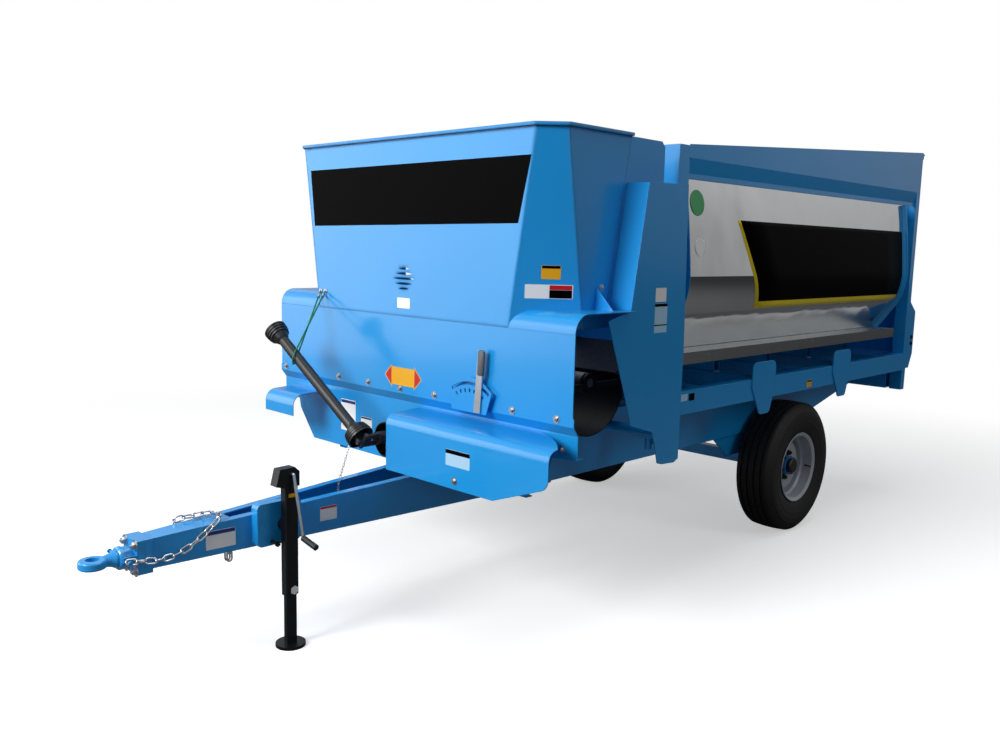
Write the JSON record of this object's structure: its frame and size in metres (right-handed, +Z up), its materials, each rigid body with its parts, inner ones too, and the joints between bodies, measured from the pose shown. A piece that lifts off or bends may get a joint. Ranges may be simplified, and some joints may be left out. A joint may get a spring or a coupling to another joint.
{
  "type": "feed wagon",
  "caption": "Towed feed mixer wagon with an open stainless tub, mixing augers, a front hopper with a cross auger and an outlet at each side, a drawbar with a swinging jack, and two wheels.",
  "frame": {"origin": "on the ground under the middle of the wagon's outline", "axes": "the wagon faces -Y, its left side is +X, +Z is up"},
  "size_m": [2.212, 5.476, 2.427],
  "materials": {
    "sky_blue_paint": "gloss",
    "stainless_skin": "polished",
    "black_paint": "satin",
    "zinc_plate": "zinc plated",
    "tyre_rubber": "matt",
    "silver_wheel_paint": "satin",
    "black_plastic": "matt",
    "green_cord": "matt",
    "dark_steel": "bare"
  },
  "bodies": {
    "wagon": {"auger_bearings": "dark_steel", "axle_beam": "sky_blue_paint", "axle_plates": "sky_blue_paint", "cross_members": "sky_blue_paint", "cross_trough": "stainless_skin", "deflectors": "sky_blue_paint", "discharge_hoods": "sky_blue_paint", "discharge_tubes": "sky_blue_paint", "drawbar": "sky_blue_paint", "drive_shield": "sky_blue_paint", "drive_yoke": "dark_steel", "frame_posts": "sky_blue_paint", "front_housing": "sky_blue_paint", "front_plate": "sky_blue_paint", "front_wall": "sky_blue_paint", "gate_lever": "zinc_plate", "gearbox": "dark_steel", "guard_chain": "zinc_plate", "hitch_flange": "sky_blue_paint", "housing_sides": "sky_blue_paint", "jack_bracket": "sky_blue_paint", "lower_front_plate": "sky_blue_paint", "main_beams": "sky_blue_paint", "pto_cone": "black_plastic", "pto_guard": "black_plastic", "pto_joint": "dark_steel", "rear_cover": "sky_blue_paint", "rear_wall": "sky_blue_paint", "safety_chain": "zinc_plate", "sector_plate": "zinc_plate", "shaft_sling": "green_cord", "side_lips": "stainless_skin", "side_rails": "sky_blue_paint", "sling_ferrules": "zinc_plate", "small_guard": "sky_blue_paint", "top_bands": "sky_blue_paint", "tub_skin": "stainless_skin"},
    "left_wheel": {"tyre_left": "tyre_rubber", "rim_left": "silver_wheel_paint", "hub_left": "sky_blue_paint"},
    "right_wheel": {"tyre_right": "tyre_rubber", "rim_right": "silver_wheel_paint", "hub_right": "sky_blue_paint"},
    "tow_eye": {"tow_eye": "dark_steel"},
    "jack": {"jack_tube": "black_paint", "jack_crank": "zinc_plate", "jack_grip": "black_plastic"},
    "jack_leg": {"jack_leg": "black_paint"},
    "left_auger": {"auger_left": "dark_steel"},
    "right_auger": {"auger_right": "dark_steel"},
    "upper_auger": {"auger_top": "dark_steel"},
    "cross_auger": {"cross_auger": "dark_steel"},
    "discharge_gate": {"discharge_gate": "stainless_skin"}
  },
  "joints": [
    {"name": "left_wheel_spin", "type": "hinge", "parent": "wagon", "child": "left_wheel", "pos_m": [0.755, 1.284, 0.405], "axis": [1, 0, 0], "continuous": true},
    {"name": "right_wheel_spin", "type": "hinge", "parent": "wagon", "child": "right_wheel", "pos_m": [-0.755, 1.284, 0.405], "axis": [1, 0, 0], "continuous": true},
    {"name": "tow_eye_swivel", "type": "hinge", "parent": "wagon", "child": "tow_eye", "pos_m": [0, -2.582, 0.496], "axis": [0, 1, 0], "continuous": true},
    {"name": "jack_swing", "type": "hinge", "parent": "wagon", "child": "jack", "pos_m": [0.135, -1.932, 0.53], "axis": [-1, 0, 0], "range_deg": [0, 90]},
    {"name": "jack_leg_slide", "type": "slide", "parent": "jack", "child": "jack_leg", "axis": [0, 0, 1], "range_m": [0, 0.21]},
    {"name": "left_auger_turn", "type": "hinge", "parent": "wagon", "child": "left_auger", "pos_m": [0.688, 1.018, 1.48], "axis": [0, 1, 0], "continuous": true},
    {"name": "right_auger_turn", "type": "hinge", "parent": "wagon", "child": "right_auger", "pos_m": [-0.688, 1.018, 1.48], "axis": [0, 1, 0], "continuous": true},
    {"name": "upper_auger_turn", "type": "hinge", "parent": "wagon", "child": "upper_auger", "pos_m": [0, 1.018, 1.72], "axis": [0, 1, 0], "continuous": true},
    {"name": "cross_auger_turn", "type": "hinge", "parent": "wagon", "child": "cross_auger", "pos_m": [0, -0.842, 1.13], "axis": [1, 0, 0], "continuous": true},
    {"name": "discharge_gate_lift", "type": "slide", "parent": "wagon", "child": "discharge_gate", "axis": [0, 0, 1], "range_m": [0, 0.37]}
  ]
}
